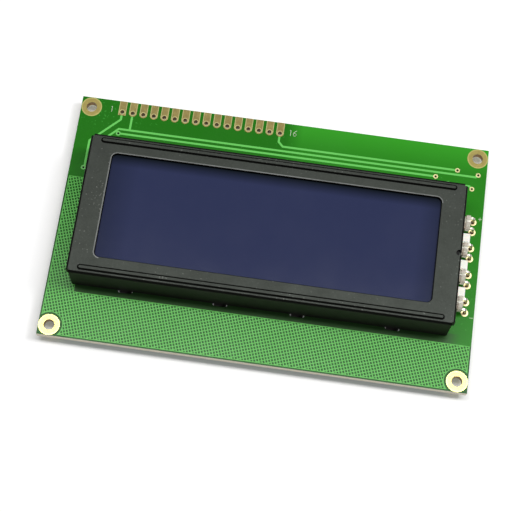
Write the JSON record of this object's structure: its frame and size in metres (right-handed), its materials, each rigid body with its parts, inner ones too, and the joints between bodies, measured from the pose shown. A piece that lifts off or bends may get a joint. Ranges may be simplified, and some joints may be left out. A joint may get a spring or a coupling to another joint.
{
  "type": "character lcd module",
  "caption": "Character display module: green board with a header row, black folded-metal bezel over a dark blue display window, and an edge-lit backlight at one end.",
  "frame": {"origin": "centre of the board's outline, on the surface the twisted tabs' ends stand on", "axes": "+X along the long edge, from the bare end towards the lamps; +Y across the board, towards the header row; +Z out of the display, towards the person reading it"},
  "size_m": [0.098, 0.06, 0.0125],
  "materials": {
    "board_green": "glossy green solder mask over glass-epoxy",
    "bare_pads": "tinned and gold-plated copper",
    "masked_copper": "copper under green solder mask",
    "black_steel": "black satin coat on folded steel sheet",
    "polariser": "smooth dark blue film",
    "cell_glass": "clear polished glass",
    "seal_resin": "dull resin",
    "strip_rubber": "soft grey silicone with dark layers",
    "white_plastic": "white moulded plastic",
    "white_film": "bright white film",
    "clear_acrylic": "clear polished acrylic",
    "clear_epoxy": "clear epoxy",
    "tinned_steel": "tinned steel",
    "solder": "bright solder",
    "black_epoxy": "smooth black epoxy",
    "black_ceramic": "dull black glaze",
    "tan_ceramic": "dull tan ceramic"
  },
  "bodies": {
    "root": {"circuit_board": "board_green", "mounting_pads": "bare_pads", "header_pads": "bare_pads", "lamp_pads": "bare_pads", "vias": "bare_pads", "front_tracks": "masked_copper", "back_tracks": "masked_copper", "ground_hatch": "masked_copper", "zebra_contacts": "bare_pads", "bezel": "black_steel", "front_polariser": "polariser", "front_glass": "cell_glass", "cell_seal": "seal_resin", "rear_glass": "cell_glass", "rear_polariser": "polariser", "upper_zebra_strip": "strip_rubber", "lower_zebra_strip": "strip_rubber", "backlight_tray": "white_plastic", "reflector_film": "white_film", "light_guide": "clear_acrylic", "diffuser_stack": "white_film", "lamp_1": "clear_epoxy", "lamp_2": "clear_epoxy", "lamp_3": "clear_epoxy", "lamp_4": "clear_epoxy", "lamp_leads_1": "tinned_steel", "lamp_leads_2": "tinned_steel", "lamp_leads_3": "tinned_steel", "lamp_leads_4": "tinned_steel", "solder_joints": "solder", "controller_blob": "black_epoxy", "driver_blob_1": "black_epoxy", "driver_blob_2": "black_epoxy", "chip_resistors": "black_ceramic", "chip_capacitors": "tan_ceramic", "chip_ends": "solder"}
  },
  "joints": []
}
